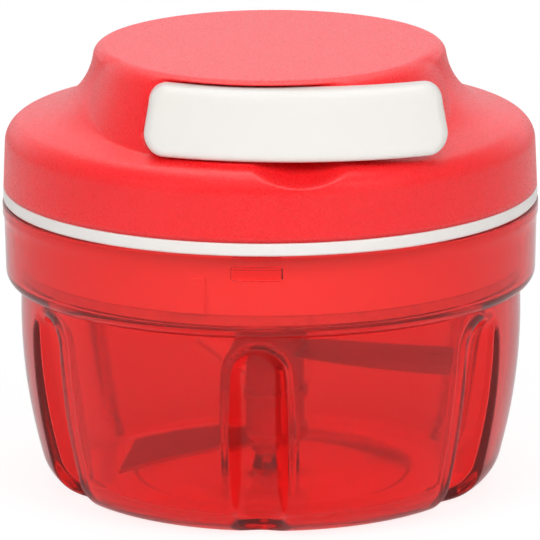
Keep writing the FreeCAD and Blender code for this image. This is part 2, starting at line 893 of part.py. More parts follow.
def make_case_cover():
    cover = disc(case_inner + case_cover_rebate - press_gap, case_foot, case_cover_thickness)
    holes = [disc(axle_radius + running_clearance, case_foot, case_cover_thickness)]
    return cover.cut(holes + pattern(peg(press_gap), peg_count))


def peg(grow):
    place = pawl_hub_radius - pawl_hub_wall / 2
    return disc(peg_radius + grow, case_foot - end_float, case_cover_thickness + end_float, place)


def make_axle():
    foot = clip_foot - axle_tail
    top = roof_height + axle_sunk
    slot_foot = case_cover_top + spring_side_gap / 2
    slot_height = case_roof_foot - case_cover_top - spring_side_gap
    slot_place = vec(-axle_radius, -axle_slot / 2, slot_foot)
    slot = Part.makeBox(2 * axle_radius, axle_slot, slot_height, slot_place)
    groove_height = clip_thickness + 2 * clip_gap
    groove = tube(axle_radius + clip_groove, axle_radius - clip_groove, clip_foot - clip_gap, groove_height)
    return disc(axle_radius, foot, top - foot).cut([slot, groove])


def make_axle_clip():
    inner = axle_radius - clip_groove + clip_gap
    mouth = Part.makeBox(clip_radius, clip_mouth, clip_thickness, vec(0, -clip_mouth / 2, clip_foot))
    return tube(clip_radius, inner, clip_foot, clip_thickness).cut(mouth)


def spiral_side(start_radius, growth, count, height):
    # Half circles, each a little larger than the last, whose centres change sides.
    arcs = []
    left = False
    edge_x = start_radius
    radius = start_radius
    for i in range(count):
        side = -1.0 if left else 1.0
        centre_x = edge_x - side * radius
        start = vec(edge_x, 0, height)
        middle = vec(centre_x, side * radius, height)
        end = vec(centre_x - side * radius, 0, height)
        arcs.append(Part.Arc(start, middle, end).toShape())
        edge_x = end.x
        radius += growth
        left = not left
    return arcs


def make_spring():
    foot = case_cover_top + spring_side_gap
    height = case_roof_foot - case_cover_top - 2 * spring_side_gap
    growth = (spring_outer_radius - spring_inner_radius) / spring_turns / 2
    count = 2 * spring_turns
    inner = spiral_side(spring_inner_radius, growth, count, foot)
    outer = spiral_side(spring_inner_radius + spring_strip, growth, count, foot)
    inner_start = inner[0].valueAt(inner[0].FirstParameter)
    outer_start = outer[0].valueAt(outer[0].FirstParameter)
    inner_end = inner[-1].valueAt(inner[-1].LastParameter)
    outer_end = outer[-1].valueAt(outer[-1].LastParameter)
    edges = inner + outer
    edges.append(Part.LineSegment(inner_start, outer_start).toShape())
    edges.append(Part.LineSegment(inner_end, outer_end).toShape())
    strip = Part.Face(Part.Wire(Part.__sortEdges__(edges))).extrude(up * height)
    tongue_outer = inner_start.x + spring_strip / 2
    tongue = radial_box(spring_tongue_gap - axle_radius, tongue_outer, spring_strip, foot, height)
    hook_reach = case_inner - spring_side_gap
    hook = radial_box(inner_end.x, hook_reach, spring_strip, foot, height)
    return strip.multiFuse([tongue, hook])


# Ratchet, output shaft and coupler

def make_pawls():
    hub_height = case_foot - pawl_foot
    hub = tube(pawl_hub_radius, pawl_hub_radius - pawl_hub_wall, pawl_foot, hub_height)
    arm_inner = pawl_arm_radius - pawl_arm_thickness
    root_inner = pawl_hub_radius - pawl_hub_wall / 2
    root_outer = pawl_arm_radius - pawl_arm_thickness / 2
    root = radial_box(root_inner, root_outer, pawl_root_width, pawl_foot, pawl_height)
    arm = sector(pawl_arm_radius, arm_inner, pawl_foot, pawl_height, pawl_arm_angle, pawl_arm_angle / 2)
    tip_start = circle_point(arm_inner, pawl_arm_angle, pawl_foot)
    tip_out = circle_point(tooth_root_radius - tooth_gap * 2, pawl_arm_angle, pawl_foot)
    tip_sweep = math.degrees(pawl_tip_width / pawl_arm_radius)
    tip_back = circle_point(pawl_arm_radius, pawl_arm_angle - tip_sweep, pawl_foot)
    tip_heel = circle_point(arm_inner, pawl_arm_angle - tip_sweep, pawl_foot)
    tip_outline = Part.makePolygon([tip_start, tip_out, tip_back, tip_heel, tip_start])
    tip = Part.Face(tip_outline).extrude(up * pawl_height)
    pawl = root.multiFuse([arm, tip])
    return hub.multiFuse(pattern(pawl, pawl_count) + pattern(peg(0.0), peg_count))


def make_ratchet_cup():
    # Saw teeth all round the inside of the cup: a long ramp, then a face that the pawl pushes.
    step = 360.0 / tooth_count
    first = pawl_arm_angle + math.degrees(tooth_gap / tooth_root_radius)
    outline = []
    for i in range(tooth_count):
        face_angle = first + i * step
        outline.append(circle_point(tooth_root_radius, face_angle, cup_floor_top))
        outline.append(circle_point(tooth_tip_radius, face_angle, cup_floor_top))
    outline.append(outline[0])
    hollow = Part.Face(Part.makePolygon(outline)).extrude(up * cup_height)
    cup = disc(cup_radius, cup_foot, cup_height).cut(hollow)
    shaft = disc(shaft_radius, shaft_foot, cup_foot + cup_floor / 2 - shaft_foot)
    flat_width = 2 * shaft_radius
    flat_place = vec(shaft_flat, -shaft_radius, shaft_foot)
    flat = Part.makeBox(flat_width, flat_width, coupler_shaft_depth, flat_place)
    screw_hole = disc(coupler_screw_radius + press_gap, shaft_foot, coupler_screw_length)
    return cup.fuse(shaft).cut([flat, screw_hole])


def make_drive_bush():
    foot = base_boss_foot
    flange = disc(bush_flange_radius, bush_top - bush_flange_thickness, bush_flange_thickness)
    body = disc(bush_radius, foot, bush_top - foot)
    bore = disc(shaft_radius + running_clearance, foot, bush_top - foot)
    return body.fuse(flange).cut(bore).removeSplitter()


def make_coupler():
    waist_top = coupler_web_foot + coupler_waist_height
    body = turned([
        (0.0, coupler_web_foot, 0.0),
        (coupler_radius, coupler_web_foot, coupler_round),
        (coupler_radius, coupler_web_foot + coupler_flange_height, coupler_round),
        (coupler_waist_radius, waist_top, 0.0),
        (coupler_waist_radius, coupler_top, coupler_top_round),
        (0.0, coupler_top, 0.0),
    ])
    bore = disc(shaft_radius + press_gap, shaft_foot, coupler_shaft_depth)
    flat_width = 2 * shaft_radius
    flat_place = vec(shaft_flat + press_gap, -shaft_radius, shaft_foot)
    bore = bore.cut(Part.makeBox(flat_width, flat_width, coupler_shaft_depth, flat_place))
    jaw_foot = coupler_web_foot - jaw_length
    jaw = sector(jaw_outer_radius, jaw_inner_radius, jaw_foot, jaw_length, jaw_sweep_angle)
    jaws = pattern(jaw, jaw_count, jaw_angle)
    screw_hole = disc(coupler_screw_radius + press_gap, coupler_web_foot, shaft_foot - coupler_web_foot)
    head_room = disc(coupler_screw_head + press_gap, coupler_web_foot, coupler_screw_head_height)
    return body.multiFuse(jaws).cut([bore, screw_hole, head_room])


def make_coupler_screw():
    head_top = coupler_web_foot + coupler_screw_head_height
    head = disc(coupler_screw_head, coupler_web_foot, coupler_screw_head_height)
    shank = disc(coupler_screw_radius, head_top, coupler_screw_length)
    slot = Part.makeBox(2 * coupler_screw_head, screw_slot, coupler_screw_head_height / 2,
                        vec(-coupler_screw_head, -screw_slot / 2, coupler_web_foot))
    return head.fuse(shank).cut(slot)


# Cord

def cord_bend():
    # Where the cord, coming slantwise from the drum, turns into the eyelet.
    return vec(handle_offset, -(eyelet_face() - eyelet_length - cord_bend_behind), cord_exit_height)


def leaving_point():
    # The tangent point on the drum of the line to the bend.
    bend = cord_bend()
    away = math.hypot(bend.x, bend.y)
    direction = math.degrees(math.atan2(bend.y, bend.x)) + math.degrees(math.acos(wound_radius / away))
    return circle_point(wound_radius, direction, winding_foot), direction


def make_winding():
    start, direction = leaving_point()
    helix = Part.makeHelix(winding_pitch, winding_pitch * winding_turns, wound_radius)
    helix.rotate(origin, up, direction)
    helix.translate(vec(0, 0, winding_foot))
    section = Part.Wire(Part.makeCircle(cord_radius, start, vec(-start.y, start.x, 0)))
    winding = Part.Wire(helix).makePipeShell([section], True, False)
    length = math.hypot(2 * math.pi * wound_radius, winding_pitch) * winding_turns
    print("winding length", round(length, 1), "gap between turns", round(winding_pitch - cord_diameter, 2),
          "volume share", round(winding.Volume / (length * math.pi * cord_radius ** 2), 3))
    return winding


def make_cord_lead():
    start, direction = leaving_point()
    bend = cord_bend()
    end = vec(handle_offset, -ferrule_back(), cord_exit_height)
    back = (start - bend).normalize()
    ahead = (end - bend).normalize()
    half = back.getAngle(ahead) / 2
    reach = cord_bend_radius / math.tan(half)
    middle_way = (back + ahead).normalize()
    middle = bend + middle_way * (cord_bend_radius / math.sin(half) - cord_bend_radius)
    path = Part.Wire([
        Part.LineSegment(start, bend + back * reach).toShape(),
        Part.Arc(bend + back * reach, middle, bend + ahead * reach).toShape(),
        Part.LineSegment(bend + ahead * reach, end).toShape(),
    ])
    section = Part.Wire(Part.makeCircle(cord_radius, start, back * -1))
    lead = path.makePipeShell([section], True, False)
    print("cord lead length", round(path.Length, 1), "bend radius", cord_bend_radius,
          "volume share", round(lead.Volume / (path.Length * math.pi * cord_radius ** 2), 3))
    return lead


os.makedirs("parts", exist_ok=True)
blades = {}
blades["upper"] = make_blade(
    upper_blade_height, upper_blade_angle, upper_blade_reach, upper_blade_tilt_angle, upper_blade_slant)
blades["middle"] = make_blade(
    middle_blade_height, middle_blade_angle, middle_blade_reach, middle_blade_tilt_angle, middle_blade_slant)
blades["lower"] = make_blade(
    lower_blade_height, lower_blade_angle, lower_blade_reach, lower_blade_tilt_angle, lower_blade_slant)
save("bowl", make_bowl())
save("bowl_pivot_pin", make_pivot_pin())
for place, blade in blades.items():
    save(place + "_blade", blade)
save("blade_stem", make_stem(list(blades.values())))
save("lid_cover", make_lid_cover())
save("lid_base", make_lid_base())
save("lid_seal", make_seal())
save("lid_screws", make_lid_screws())
save("cord_eyelet", make_eyelet())
save("reel_axle", make_axle())
save("axle_clip", make_axle_clip())
save("return_spring", make_spring())
save("reel", make_reel())
save("spring_case_cover", make_case_cover())
save("ratchet_pawls", make_pawls())
save("pull_cord_winding", make_winding())
save("ratchet_cup", make_ratchet_cup())
save("drive_bush", make_drive_bush())
save("drive_coupler", make_coupler())
save("coupler_screw", make_coupler_screw())
save("handle_front", make_handle_front())
save("handle_back", make_handle_back())
save("cord_ferrule", make_ferrule())
save("pull_cord_lead", make_cord_lead())
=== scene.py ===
import math
import bmesh
import bpy
import numpy as np
from mathutils import Matrix, Vector


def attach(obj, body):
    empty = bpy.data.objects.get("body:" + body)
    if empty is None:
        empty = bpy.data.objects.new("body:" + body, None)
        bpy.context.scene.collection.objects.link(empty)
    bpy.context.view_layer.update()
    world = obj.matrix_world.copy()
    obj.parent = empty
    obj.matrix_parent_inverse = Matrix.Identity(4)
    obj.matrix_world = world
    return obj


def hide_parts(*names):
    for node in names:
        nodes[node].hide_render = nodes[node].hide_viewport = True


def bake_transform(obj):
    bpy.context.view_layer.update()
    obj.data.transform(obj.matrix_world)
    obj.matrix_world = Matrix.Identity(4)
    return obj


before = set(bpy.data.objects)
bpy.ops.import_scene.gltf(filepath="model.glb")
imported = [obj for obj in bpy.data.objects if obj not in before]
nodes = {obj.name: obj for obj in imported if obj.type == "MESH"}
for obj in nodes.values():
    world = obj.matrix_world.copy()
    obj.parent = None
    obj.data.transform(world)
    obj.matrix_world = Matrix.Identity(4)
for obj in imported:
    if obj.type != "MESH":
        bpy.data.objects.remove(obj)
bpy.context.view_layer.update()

print("frame:", len(nodes), "nodes")


class Wire:
    # An output socket. Sums and products with numbers or other wires add their Math nodes.
    def __init__(self, finish, socket):
        self.finish = finish
        self.socket = socket

    def math(self, operation, *values):
        return self.finish.add("ShaderNodeMath", {"operation": operation}, *values)

    def __add__(self, other):
        return self.math("ADD", self, other)

    def __radd__(self, other):
        return self.math("ADD", other, self)

    def __sub__(self, other):
        return self.math("SUBTRACT", self, other)

    def __rsub__(self, other):
        return self.math("SUBTRACT", other, self)

    def __mul__(self, other):
        return self.math("MULTIPLY", self, other)

    def __rmul__(self, other):
        return self.math("MULTIPLY", other, self)

    def sine(self):
        return self.math("SINE", self)

    def atLeast(self, other):
        return self.math("MAXIMUM", self, other)

    def other(self, name):
        # Another output of the same node.
        return Wire(self.finish, self.socket.node.outputs[name])


class Finish:
    # The nodes of a material or the world. add() makes any node: its settings first, then its values or links.
    def __init__(self, owner):
        self.owner = owner
        owner.use_nodes = True
        self.tree = owner.node_tree
        self.tree.nodes.clear()

    def feed(self, socket, value):
        if isinstance(value, Wire):
            self.tree.links.new(value.socket, socket)
        elif value is not None:
            socket.default_value = value

    def add(self, kind, settings=None, *values, out=0, **named):
        node = self.tree.nodes.new(kind)
        for key, value in (settings or {}).items():
            setattr(node, key, value)
        for socket, value in zip(node.inputs, values):
            self.feed(socket, value)
        for key, value in named.items():
            self.feed(node.inputs[key.replace("_", " ")], value)
        return Wire(self, node.outputs[out]) if out is not None else node

    def place(self, turn=(0.0, 0.0, 0.0), scale=(1.0, 1.0, 1.0), uv=False):
        # Object coordinates, or the piece's own UV map, turned and stretched by a Mapping node.
        source = self.add("ShaderNodeTexCoord", out=2 if uv else 3)
        return self.add("ShaderNodeMapping", None, Vector=source, Rotation=turn, Scale=scale)

    def noise(self, where, scale, detail=2.0, roughness=0.5):
        return self.add(
            "ShaderNodeTexNoise", None, Vector=where, Scale=scale, Detail=detail, Roughness=roughness)

    def blend(self, share, first, second):
        # A colour between two colours.
        mixed = self.add("ShaderNodeMix", {"data_type": "RGBA", "clamp_factor": True}, out=2)
        sockets = mixed.socket.node.inputs
        self.feed(sockets[0], share)
        for socket, value in ((sockets[6], first), (sockets[7], second)):
            self.feed(socket, value if isinstance(value, Wire) else (*value, 1.0))
        return mixed

    def span(self, value, low, high, newLow=0.0, newHigh=1.0):
        # The value's stretch from low to high is spread over newLow to newHigh.
        return self.add("ShaderNodeMapRange", None, value, low, high, newLow, newHigh)

    def bump(self, height, depth, strength=1.0):
        return self.add("ShaderNodeBump", None, Strength=strength, Distance=depth, Height=height)

    def principled(self, **named):
        return self.add("ShaderNodeBsdfPrincipled", None, **named)

    def show(self, shader, volume=None):
        world = isinstance(self.owner, bpy.types.World)
        kind = "ShaderNodeOutputWorld" if world else "ShaderNodeOutputMaterial"
        self.add(kind, None, shader, volume, out=None)
        return self.owner


def newFinish(name):
    return Finish(bpy.data.materials.new(name))


redLid = {
    "colour": (0.98, 0.0230, 0.0290), "deeper": (0.94, 0.0190, 0.0250), "pit": (0.92, 0.0070, 0.0100),
    "grain": 2600.0, "grainDepth": 0.00008, "pits": (0.36, 0.62), "shade": 30.0,
    "roughness": 0.32, "rub": 2100.0, "rubbed": 0.08, "ior": 1.55,
}


def makeRedMatte():
    # A spark-eroded mould leaves fine even pits, which hold a darker red. A slow noise changes the shade
    # a little, and a fine one the gloss.
    finish = newFinish("redMatte")
    where = finish.place()
    grain = finish.noise(where, redLid["grain"], 2.5, 0.65)
    shade = finish.noise(where, redLid["shade"], 3.0)
    rub = finish.noise(where, redLid["rub"], 3.0)
    plain = finish.blend(finish.span(shade, 0.35, 0.65), redLid["deeper"], redLid["colour"])
    colour = finish.blend(finish.span(grain, *redLid["pits"]), redLid["pit"], plain)
    smooth, rough = redLid["roughness"] - redLid["rubbed"], redLid["roughness"] + redLid["rubbed"]
    roughness = finish.span(rub, 0.35, 0.65, smooth, rough)
    normal = finish.bump(grain, redLid["grainDepth"])
    return finish.show(finish.principled(
        Base_Color=colour, Roughness=roughness, Normal=normal, IOR=redLid["ior"]))


clearRed = {
    "tint": (1.0, 0.22, 0.19), "edge": (0.92, 0.11, 0.16), "lampTint": (1.0, 0.70, 0.66),
    "absorbed": (0.98, 0.04, 0.10), "density": 300.0, "roughness": 0.07, "dusty": 0.05, "dust": 700.0,
    "ripple": 70.0, "rippleDepth": 0.0012, "turned": 0.35, "ior": 1.33, "clear": 0.96,
}


def makeClearRed():
    # Dyed clear plastic: the walls darken along the way through them. Lamp light and bounced light pass
    # through unbent, so that what is inside is lit.
    finish = newFinish("clearRed")
    where = finish.place()
    ripple = finish.noise(where, clearRed["ripple"], 2.0)
    dust = finish.noise(where, clearRed["dust"], 3.0)
    facing = finish.add("ShaderNodeLayerWeight", None, clearRed["turned"], out=1)
    tint = finish.blend(facing, clearRed["tint"], clearRed["edge"])
    dusty = clearRed["roughness"] + clearRed["dusty"]
    roughness = finish.span(dust, 0.35, 0.75, clearRed["roughness"], dusty)
    normal = finish.bump(ripple, clearRed["rippleDepth"], 0.05)
    glass = finish.principled(Base_Color=tint, Roughness=roughness, Normal=normal, IOR=clearRed["ior"],
                              Transmission_Weight=clearRed["clear"])
    through = finish.add("ShaderNodeBsdfTransparent", None, (*clearRed["lampTint"], 1.0))
    path = finish.add("ShaderNodeLightPath")
    unbent = path.other("Is Shadow Ray").atLeast(path.other("Is Diffuse Ray"))
    dye = finish.add("ShaderNodeVolumeAbsorption", None, (*clearRed["absorbed"], 1.0), clearRed["density"])
    return finish.show(finish.add("ShaderNodeMixShader", None, unbent, glass, through), dye)


# The handle's white is the lid base's white plastic set darker: painted shade against the stronger light that
# falls on the handle.
whiteParts = {
    "lidBase": (0.87, 0.85, 0.825), "handle": (0.80, 0.78, 0.75), "paintedLightWhite": (0.97, 0.96, 0.94),
    "paintedLightBelow": (0.0610, 0.0630), "warmer": 0.97, "roughness": 0.36, "handled": 0.05, "ior": 1.5,
}


def makeWhiteGloss(name, white):
    # Smooth moulded white: a slow change of shade, a trace of handling in the gloss, and a low orange peel.
    # Below the rim, inside the bowl, it is painted a lighter white: painted light, which brightens the white seen
    # through the bowl's collar.
    finish = newFinish(name)
    where = finish.place()
    shade = finish.noise(where, 45.0, 2.0)
    peel = finish.noise(where, 420.0, 2.0)
    handled = finish.noise(where, 110.0, 5.0, 0.65)
    warmer = tuple(np.array(white) * (1.0, whiteParts["warmer"] ** 0.5, whiteParts["warmer"]))
    colour = finish.blend(finish.span(shade, 0.3, 0.7), warmer, white)
    height = finish.add("ShaderNodeSeparateXYZ", None, where).other("Z")
    # Painted light: below the rim the white is set lighter, so that it shows brighter through the bowl's collar.
    colour = finish.blend(finish.span(height, *whiteParts["paintedLightBelow"]), whiteParts["paintedLightWhite"], colour)
    rough = whiteParts["roughness"] + whiteParts["handled"]
    roughness = finish.span(handled, 0.35, 0.7, whiteParts["roughness"], rough)
    normal = finish.bump(peel, 0.00004, 0.3)
    return finish.show(finish.principled(
        Base_Color=colour, Roughness=roughness, Normal=normal, IOR=whiteParts["ior"],
        Subsurface_Weight=0.12, Subsurface_Radius=(0.6, 0.55, 0.5), Subsurface_Scale=0.0015))


def makeRedMoulding():
    # The stem and the coupler: smoother red than the lid, with faint flow marks.
    finish = newFinish("redMoulding")
    flow = finish.noise(finish.place((0.0, 0.0, 0.0), (90.0, 90.0, 30.0)), 1.0, 3.0)
    colour = finish.blend(finish.span(flow, 0.3, 0.7), (0.60, 0.012, 0.016), (0.72, 0.018, 0.022))
    roughness = finish.span(flow, 0.3, 0.7, 0.3, 0.42)
    normal = finish.bump(flow, 0.0002, 0.2)
    return finish.show(finish.principled(Base_Color=colour, Roughness=roughness, Normal=normal))


def makeNylon():
    # Milky natural nylon, as moulded.
    finish = newFinish("naturalNylon")
    where = finish.place()
    cloud = finish.noise(where, 120.0, 3.0)
    colour = finish.blend(finish.span(cloud, 0.3, 0.7), (0.70, 0.66, 0.56), (0.80, 0.77, 0.68))
    normal = finish.bump(finish.noise(where, 1500.0), 0.00003, 0.4)
    return finish.show(finish.principled(
        Base_Color=colour, Roughness=0.48, Normal=normal, Subsurface_Weight=0.2,
        Subsurface_Radius=(0.8, 0.7, 0.5), Subsurface_Scale=0.002))


def makeSteel(name, colour, roughness, turn=0.0, lines=(40.0, 2200.0, 2200.0)):
    # Brushing marks run along the piece, which the Mapping node turns the pattern to.
    finish = newFinish(name)
    marks = finish.noise(finish.place((0.0, 0.0, -math.radians(turn)), lines), 1.0, 3.0, 0.65)
    stain = finish.noise(finish.place(), 160.0, 3.0)
    darker = tuple(0.86 * c for c in colour)
    shade = finish.blend(finish.span(marks, 0.3, 0.7), darker, colour)
    rough = finish.span(marks, 0.3, 0.7, roughness, roughness + 0.1) + 0.06 * stain
    normal = finish.bump(marks, 0.00003, 0.5)
    return finish.show(finish.principled(Base_Color=shade, Metallic=1.0, Roughness=rough, Normal=normal))


def makeSilicone():
    # Soft milky rubber with a dusty bloom.
    finish = newFinish("milkySilicone")
    bloom = finish.noise(finish.place(), 500.0, 4.0)
    colour = finish.blend(finish.span(bloom, 0.3, 0.7), (0.70, 0.69, 0.66), (0.80, 0.79, 0.76))
    roughness = finish.span(bloom, 0.3, 0.7, 0.5, 0.65)
    normal = finish.bump(bloom, 0.00003, 0.4)
    return finish.show(finish.principled(
        Base_Color=colour, Roughness=roughness, Normal=normal,
        Subsurface_Weight=0.35, Subsurface_Radius=(0.9, 0.8, 0.7), Subsurface_Scale=0.002))


def makeBraid():
    # Two sets of strands cross over the cord, along its own UV map: u is turns round it, v is metres along it.
    finish = newFinish("braidedCord")
    uv = finish.add("ShaderNodeTexCoord", out=2)
    split = finish.add("ShaderNodeSeparateXYZ", None, uv)
    strandPairs, lay = 4, 0.0016
    around = split.other("X") * (2 * math.pi * strandPairs)
    along = split.other("Y") * (2 * math.pi / lay)
    crossing = ((around + along).sine() * (around - along).sine()) * 0.5 + 0.5
    fibre = finish.noise(finish.place((0.0, 0.0, 0.0), (40.0, 9000.0, 1.0), uv=True), 1.0, 2.0)
    colour = finish.blend(crossing * 0.8 + fibre * 0.2, (0.62, 0.60, 0.55), (0.84, 0.82, 0.78))
    normal = finish.bump(crossing + fibre * 0.25, 0.00012, 0.7)
    return finish.show(finish.principled(
        Base_Color=colour, Roughness=0.72, Normal=normal, Sheen_Weight=0.2, Sheen_Roughness=0.4))


redMatte = makeRedMatte()
clearWall = makeClearRed()
whiteBase = makeWhiteGloss("whiteBase", whiteParts["lidBase"])
paintedShadeWhiteHandle = makeWhiteGloss("paintedShadeWhiteHandle", whiteParts["handle"])
redMoulding = makeRedMoulding()
nylon = makeNylon()
silicone = makeSilicone()
braid = makeBraid()
turnedSteel = makeSteel("turnedSteel", (0.60, 0.61, 0.63), 0.26, lines=(90.0, 90.0, 2600.0))
bluedSteel = makeSteel("bluedSteel", (0.36, 0.40, 0.48), 0.3, lines=(300.0, 300.0, 1800.0))
platedSteel = makeSteel("platedSteel", (0.66, 0.66, 0.66), 0.22, lines=(500.0, 500.0, 500.0))
print("materials made")

finishes = {
    "bowl_pivot_pin": turnedSteel, "blade_stem": redMoulding, "lid_cover": redMatte, "lid_base": whiteBase,
    "lid_seal": silicone, "lid_screws": platedSteel, "cord_eyelet": nylon, "reel_axle": turnedSteel,
    "axle_clip": bluedSteel, "return_spring": bluedSteel, "drive_bush": nylon, "reel": nylon,
    "spring_case_cover": nylon, "ratchet_pawls": nylon, "ratchet_cup": nylon, "drive_coupler": redMoulding,
    "coupler_screw": platedSteel, "handle_front": paintedShadeWhiteHandle, "handle_back": paintedShadeWhiteHandle,
    "cord_ferrule": turnedSteel, "bowl": clearWall, "pull_cord_lead": braid, "pull_cord_winding": braid,
}
bladeTurns = {"upper_blade": -22.0, "middle_blade": 105.0, "lower_blade": 211.0}
for name, turn in bladeTurns.items():
    finishes[name] = makeSteel(name.replace("_blade", "BladeSteel"), (0.72, 0.73, 0.75), 0.24, turn)
for name, material in finishes.items():
    if len(nodes[name].material_slots) == 0:
        nodes[name].data.materials.append(material)
    for slot in nodes[name].material_slots:
        slot.material = material


def meshPiece(name, points, faces, material, body, uv=None):
    # One mesh object with its place in its mesh, smooth, riding on a body unless that is None.
    mesh = bpy.data.meshes.new(name)
    mesh.from_pydata(points.tolist(), [], faces)
    mesh.polygons.foreach_set("use_smooth", np.ones(len(mesh.polygons), bool))
    mesh.materials.append(material)
    if uv is not None:
        layer = mesh.uv_layers.new(name="run")
        corners = np.empty(len(mesh.loops), np.int32)
        mesh.loops.foreach_get("vertex_index", corners)
        layer.data.foreach_set("uv", uv[corners].astype(np.float32).ravel())
    mesh.update()
    piece = bpy.data.objects.new(name, mesh)
    bpy.context.scene.collection.objects.link(piece)
    if body is not None:
        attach(piece, body)
    return piece


def gridFaces(rows, columns, wrap=True):
    # Quads between the rows of a grid. With wrap, its last column joins its first.
    row, column = np.meshgrid(np.arange(rows - 1), np.arange(columns if wrap else columns - 1), indexing="ij")
    here = row * columns + column
    right = row * columns + (column + 1) % columns
    return np.stack([here, right, right + columns, here + columns], axis=-1).reshape(-1, 4)


def roundedProfile(corners):
    # Points (radius, height) through corners of (radius, height, rounding, steps on the arc, steps after it).
    # An arc's point at share s of its sweep w is (start sin((1-s)w) + end sin(sw)) / sin(w) from the centre.
    line = []
    count = len(corners)
    for index, (radius, height, rounding, arcSteps, runSteps) in enumerate(corners):
        here = np.array([radius, height])
        if rounding and 0 < index < count - 1:
            back = np.array(corners[index - 1][:2]) - here
            ahead = np.array(corners[index + 1][:2]) - here
            back /= np.linalg.norm(back)
            ahead /= np.linalg.norm(ahead)
            half = math.acos(np.clip(back @ ahead, -1, 1)) / 2
            middle = (back + ahead) / np.linalg.norm(back + ahead)
            centre = here + middle * rounding / math.sin(half)
            start = here + back * rounding / math.tan(half) - centre
            end = here + ahead * rounding / math.tan(half) - centre
            sweep = math.pi - 2 * half
            share = np.linspace(0, 1, arcSteps + 1)[:, None]
            arc = start * np.sin((1 - share) * sweep) + end * np.sin(share * sweep)
            arc = arc / math.sin(sweep) + centre
        else:
            arc = here[None, :]
        if line:
            last = line[-1][-1]
            steps = corners[index - 1][4]
            share = np.linspace(0, 1, steps + 1)[1:-1, None]
            line.append(last + (arc[0] - last) * share)
        line.append(arc)
    return np.concatenate([part for part in line if len(part)])


# Bowl, in millimetres: a turned wall of 2 mm with six flutes pressed in, all edges eased
bowl = {
    "flutes": 6, "fluteTurn": -93.0, "fluteRadius": 6.3, "fluteEdge": 1.1, "innerEdge": 0.9, "wall": 2.0,
    "head": (56.2, 36.743), "bend": (51.425, 4.5), "toe": (45.575, -7.2),  # the flute's middle line
    "deepest": 14.0, "pressedBeyond": 32.0, "footHeight": 15.0, "footSlope": 38.0,
    "rimTop": (57.0, 63.7), "lugRadius": 55.9, "lugMiddle": 59.85,
    "lugHeight": 2.8, "lugWidth": 10.7, "lugThickness": 1.4, "lugSoft": 0.35,
    "sectorStops": ((0.0, 5.2, 9), (5.2, 11.6, 18), (11.6, 30.0, 9)),  # degrees from, degrees to, count
}
bowlCorners = [
    (12.0, 1.0, 0.0, 1, 2), (30.0, 1.0, 0.35, 2, 1), (30.0, 0.0, 0.35, 2, 5), (48.4, 0.0, 10.0, 21, 6),
    (55.2, 27.2, 119.99, 44, 2), (54.3, 45.7, 0.25, 2, 1), (57.6, 45.7, 3.0, 9, 6), (57.9, 61.1, 0.12, 2, 1),
    (58.2, 61.1, 0.12, 2, 3), (58.2, 63.7, 0.45, 4, 1), (55.9, 63.7, 0.45, 4, 4),
    (55.87, 61.9, 0.0, 1, 24), (55.85, 57.8, 0.0, 1, 7),
    (55.6, 47.7, 1.3, 5, 1), (52.3, 47.7, 0.9, 4, 5), (53.2, 27.2, 117.99, 40, 5), (46.4, 3.0, 8.0, 17, 5),
    (5.0, 3.0, 0.5, 3, 2), (3.6, 6.4, 0.3, 3, 1), (1.55, 6.4, 0.1, 2, 2), (1.55, 4.0, 0.0, 1, 1)]


def segmentDistance(points, start, end):
    # Distance of each point from a straight line piece in the flute's own upright plane.
    start, end = np.array([start[0], 0.0, start[1]]), np.array([end[0], 0.0, end[1]])
    way = end - start
    share = np.clip((points - start) @ way / (way @ way), 0, 1)
    return np.linalg.norm(points - start - share[..., None] * way, axis=-1)


def fluteDistance(points, radius):
    # A rod with round ends down the wall, then slanting in through the foot.
    upper = segmentDistance(points, bowl["head"], bowl["bend"])
    lower = segmentDistance(points, bowl["bend"], bowl["toe"])
    return np.minimum(upper, lower) - radius


